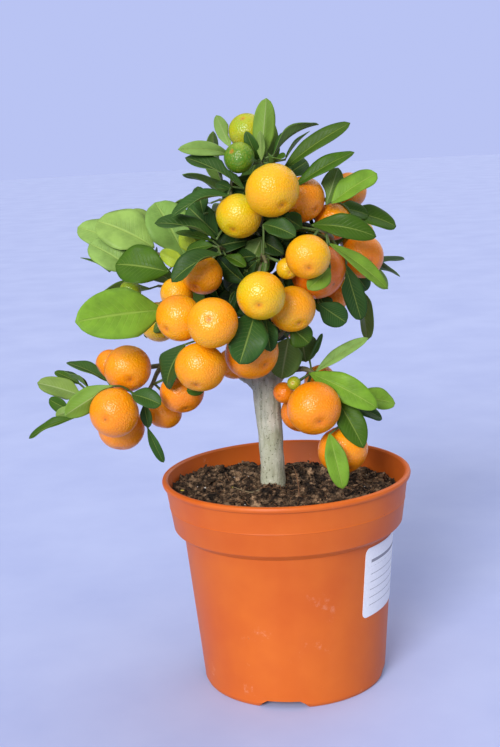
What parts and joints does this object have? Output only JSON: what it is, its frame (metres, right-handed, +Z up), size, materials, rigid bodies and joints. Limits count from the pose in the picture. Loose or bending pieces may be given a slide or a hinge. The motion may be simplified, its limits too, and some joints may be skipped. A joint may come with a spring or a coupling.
{
  "type": "potted mandarin tree",
  "caption": "Small mandarin tree with glossy leaves and ripe orange fruit, growing from potting soil in a round plastic nursery pot with a plain paper label.",
  "frame": {"origin": "middle of the whole plant's footprint, on the ground that the pot stands on", "axes": "+Z up along the trunk, -Y to the front of the plant, +X to its right seen from the front"},
  "size_m": [0.2582, 0.1816, 0.3951],
  "materials": {
    "pot_plastic": "satin terracotta-orange moulded plastic, lightly scuffed",
    "label_paper": "matt white paper with plain ruled lines",
    "potting_soil": "dark brown crumbly peat and fibre",
    "bark": "grey-green furrowed bark",
    "leaf": "glossy dark green above, matt pale green below",
    "fruit_peel": "satin orange peel with fine pores"
  },
  "bodies": {
    "root": {"pot": "pot_plastic", "paper_label": "label_paper", "potting_soil": "potting_soil", "trunk_and_limbs": "bark", "shoot_back_high": "leaf", "shoot_back_left": "leaf", "shoot_back_right": "leaf", "shoot_front": "leaf", "shoot_left": "leaf", "shoot_left_back": "leaf", "shoot_left_high": "leaf", "shoot_left_low": "leaf", "shoot_low_front": "leaf", "shoot_right": "leaf", "shoot_right_low": "leaf", "shoot_top": "leaf", "shoot_upper_left": "leaf", "shoot_upper_right": "leaf", "mandarin_01": "fruit_peel", "mandarin_02": "fruit_peel", "mandarin_03": "fruit_peel", "mandarin_04": "fruit_peel", "mandarin_05": "fruit_peel", "mandarin_06": "fruit_peel", "mandarin_07": "fruit_peel", "mandarin_08": "fruit_peel", "mandarin_09": "fruit_peel", "mandarin_10": "fruit_peel", "mandarin_11": "fruit_peel", "mandarin_12": "fruit_peel", "mandarin_13": "fruit_peel", "mandarin_14": "fruit_peel", "mandarin_15": "fruit_peel", "mandarin_16": "fruit_peel", "mandarin_17": "fruit_peel", "mandarin_18": "fruit_peel", "mandarin_19": "fruit_peel", "mandarin_20": "fruit_peel", "mandarin_21": "fruit_peel", "mandarin_22": "fruit_peel", "mandarin_23": "fruit_peel", "mandarin_24": "fruit_peel", "mandarin_25": "fruit_peel", "mandarin_26": "fruit_peel", "mandarin_27": "fruit_peel", "mandarin_28": "fruit_peel", "mandarin_29": "fruit_peel", "mandarin_30": "fruit_peel", "mandarin_31": "fruit_peel", "mandarin_32": "fruit_peel", "mandarin_33": "fruit_peel", "mandarin_34": "fruit_peel", "mandarin_35": "fruit_peel", "mandarin_36": "fruit_peel", "mandarin_37": "fruit_peel", "mandarin_38": "fruit_peel", "mandarin_39": "fruit_peel", "mandarin_40": "fruit_peel", "mandarin_41": "fruit_peel", "mandarin_42": "fruit_peel"}
  },
  "joints": []
}
